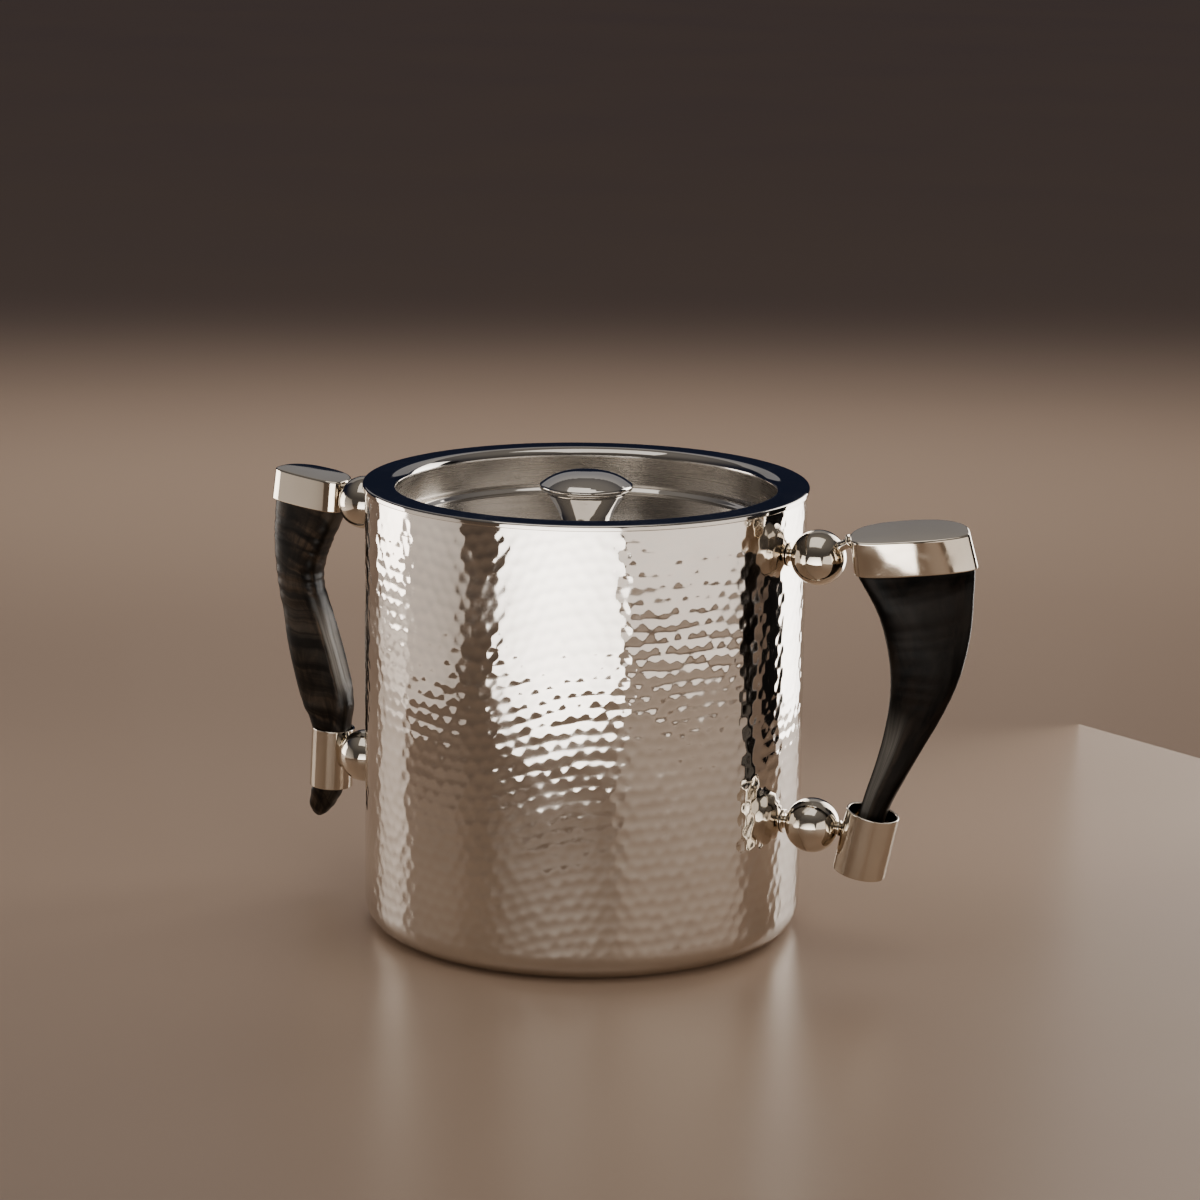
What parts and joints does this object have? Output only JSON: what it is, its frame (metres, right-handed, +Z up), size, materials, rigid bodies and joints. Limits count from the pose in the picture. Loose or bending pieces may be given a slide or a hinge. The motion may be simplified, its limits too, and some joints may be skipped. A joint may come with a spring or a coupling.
{
  "type": "ice bucket",
  "caption": "Double-walled hammered steel ice bucket with an inset lift-off lid, a mushroom knob and dark horn side handles in nickel caps, sleeves and ball mounts.",
  "frame": {"origin": "centre of the bucket's flat underside, on the bucket's own axis", "axes": "+Z up the bucket's axis, +X out to the larger handle, -Y the side with the handles' flatter faces"},
  "size_m": [0.3297, 0.19, 0.1979],
  "materials": {
    "hammered_steel": "hammered and polished, with shallow round dimples in staggered rows",
    "satin_steel": "spun satin inside, mirror polished on the rolled rim",
    "mirror_steel": "mirror polished stainless steel",
    "polished_nickel": "polished nickel plate, slightly warm, with faint casting waves",
    "zinc_plate": "dull zinc plated fasteners",
    "dark_horn": "satin polished black-brown horn with a mottled grey bloom",
    "ringed_horn": "satin brown horn with growth rings and a grey hollow face"
  },
  "bodies": {
    "bucket": {"outer_shell": "hammered_steel", "inner_liner": "satin_steel", "right_upper_ball": "polished_nickel", "right_upper_stud": "polished_nickel", "right_upper_washer": "zinc_plate", "right_upper_nut": "zinc_plate", "right_upper_neck": "polished_nickel", "right_lower_ball": "polished_nickel", "right_lower_stud": "polished_nickel", "right_lower_washer": "zinc_plate", "right_lower_nut": "zinc_plate", "right_lower_neck": "polished_nickel", "right_cap": "polished_nickel", "right_ferrule": "polished_nickel", "right_horn": "dark_horn", "left_upper_ball": "polished_nickel", "left_upper_stud": "polished_nickel", "left_upper_washer": "zinc_plate", "left_upper_nut": "zinc_plate", "left_upper_neck": "polished_nickel", "left_lower_ball": "polished_nickel", "left_lower_stud": "polished_nickel", "left_lower_washer": "zinc_plate", "left_lower_nut": "zinc_plate", "left_lower_neck": "polished_nickel", "left_cap": "polished_nickel", "left_ferrule": "polished_nickel", "left_horn": "ringed_horn"},
    "lid": {"lid_pan": "mirror_steel", "lid_knob": "mirror_steel", "knob_washer": "zinc_plate", "knob_screw": "zinc_plate"}
  },
  "joints": [
    {"name": "lid_lift", "type": "slide", "parent": "bucket", "child": "lid", "axis": [0, 0, 1], "range_m": [0, 0.1]}
  ]
}
